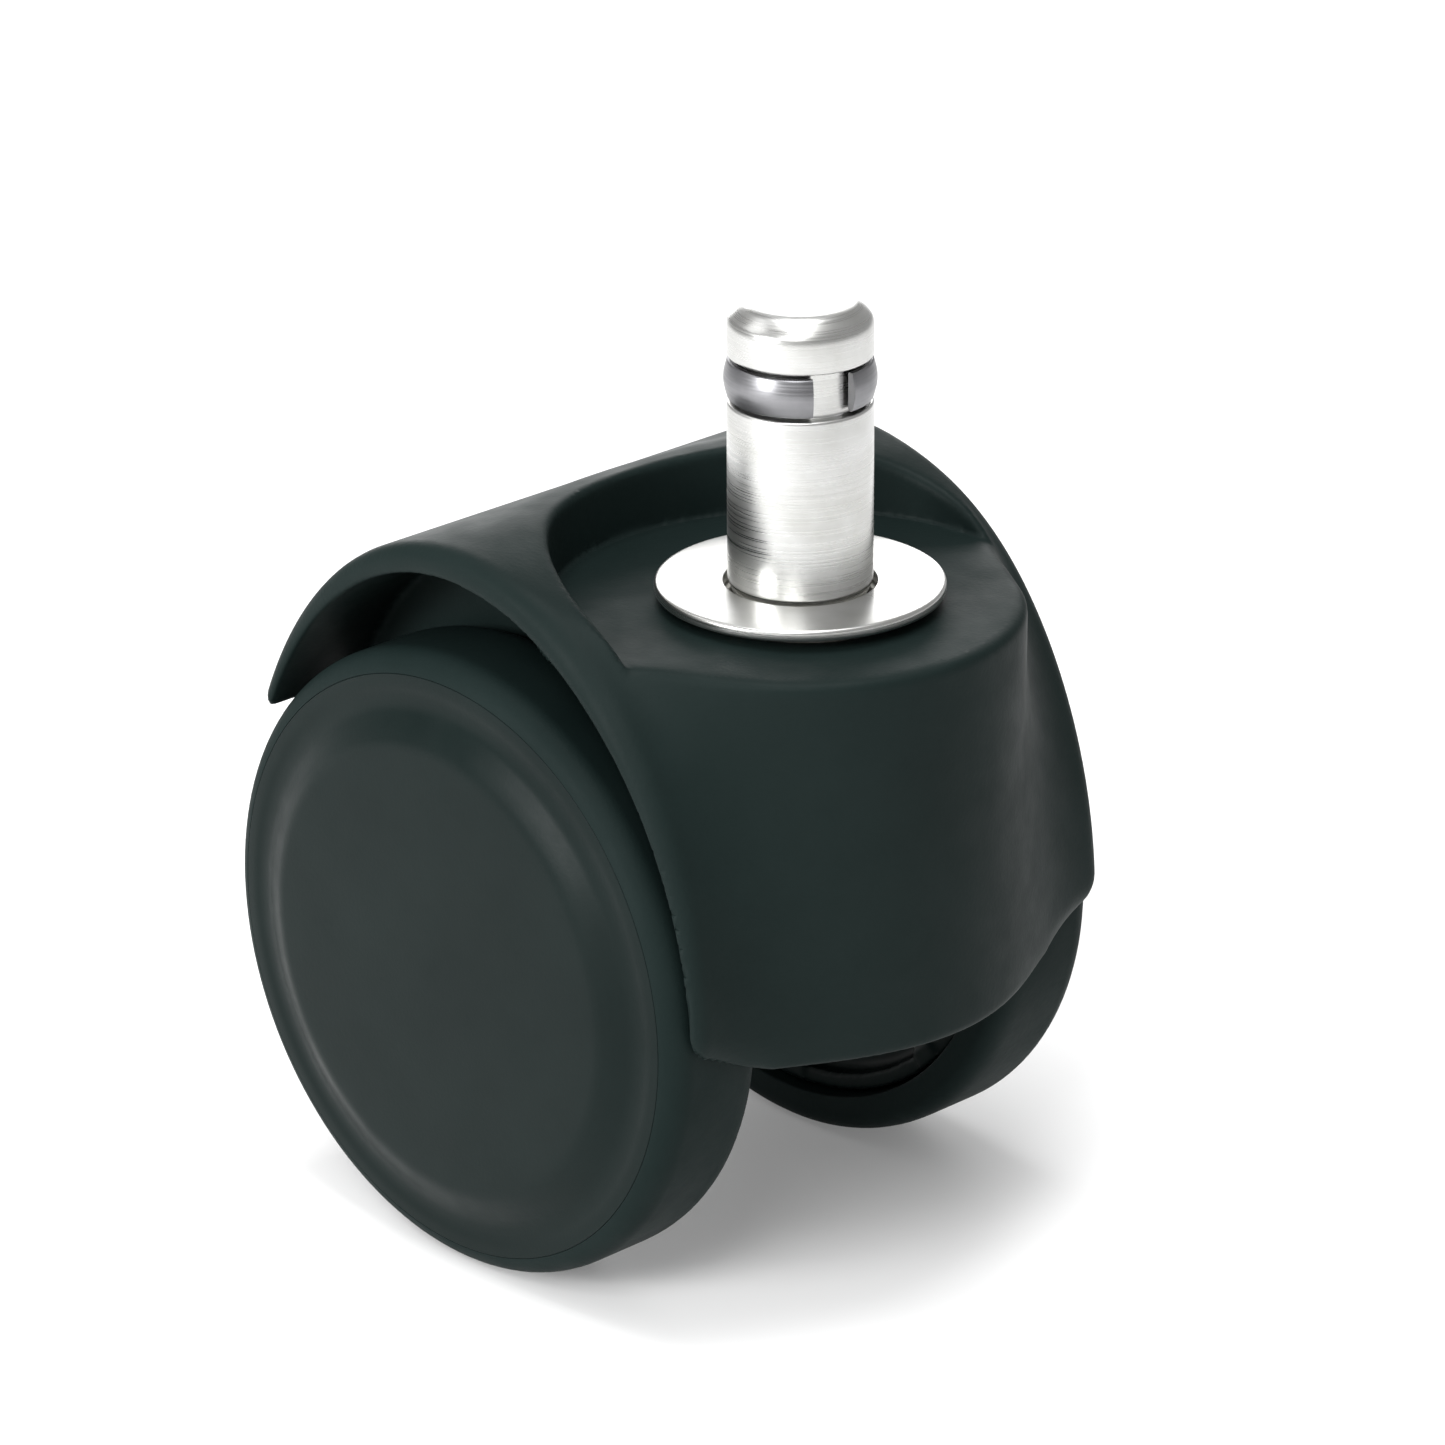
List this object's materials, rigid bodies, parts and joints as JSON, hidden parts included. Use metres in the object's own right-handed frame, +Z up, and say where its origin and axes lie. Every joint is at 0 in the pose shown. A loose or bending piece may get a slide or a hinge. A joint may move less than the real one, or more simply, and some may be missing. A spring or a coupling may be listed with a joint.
{
  "type": "chair caster wheel",
  "caption": "Hooded twin-wheel swivel caster with domed wheel covers, a round neck and a plug-in grip-ring stem for a chair base.",
  "frame": {"origin": "on the swivel axis, at the face of the stem's collar that the chair leg rests on", "axes": "+Z up the stem, +X towards the hood's front skirt, so the axle trails on the -X side, and +Y along the axle towards the left wheel"},
  "size_m": [0.0575, 0.0486, 0.0768],
  "materials": {
    "hood_nylon": "fine moulded grain, satin charcoal",
    "wheel_nylon": "smooth moulded satin charcoal",
    "tread_polymer": "smooth matt tread, slightly dusty",
    "bearing_plastic": "natural acetal",
    "zinc_steel": "bright zinc plate",
    "spring_steel": "dark oiled spring steel"
  },
  "bodies": {
    "stem": {"stem_pin": "zinc_steel", "stem_collar": "zinc_steel", "grip_ring": "spring_steel", "stem_snap_ring": "spring_steel"},
    "hood": {"hood_shell": "hood_nylon", "upper_swivel_bush": "bearing_plastic", "lower_swivel_bush": "bearing_plastic", "thrust_washer": "bearing_plastic", "axle": "zinc_steel", "left_spacer_washer": "zinc_steel", "right_spacer_washer": "zinc_steel", "left_axle_clip": "spring_steel", "right_axle_clip": "spring_steel"},
    "left_wheel": {"left_wheel_core": "wheel_nylon", "left_tread": "tread_polymer", "left_wheel_cover": "wheel_nylon", "left_hub_bush": "bearing_plastic"},
    "right_wheel": {"right_wheel_core": "wheel_nylon", "right_tread": "tread_polymer", "right_wheel_cover": "wheel_nylon", "right_hub_bush": "bearing_plastic"}
  },
  "joints": [
    {"name": "stem_swivel", "type": "hinge", "parent": "stem", "child": "hood", "pos_m": [0, 0, 0], "axis": [0, 0, 1], "continuous": true},
    {"name": "left_wheel_spin", "type": "hinge", "parent": "hood", "child": "left_wheel", "pos_m": [-0.0153, 0, -0.0298], "axis": [0, 1, 0], "continuous": true},
    {"name": "right_wheel_spin", "type": "hinge", "parent": "hood", "child": "right_wheel", "pos_m": [-0.0153, 0, -0.0298], "axis": [0, 1, 0], "continuous": true}
  ]
}
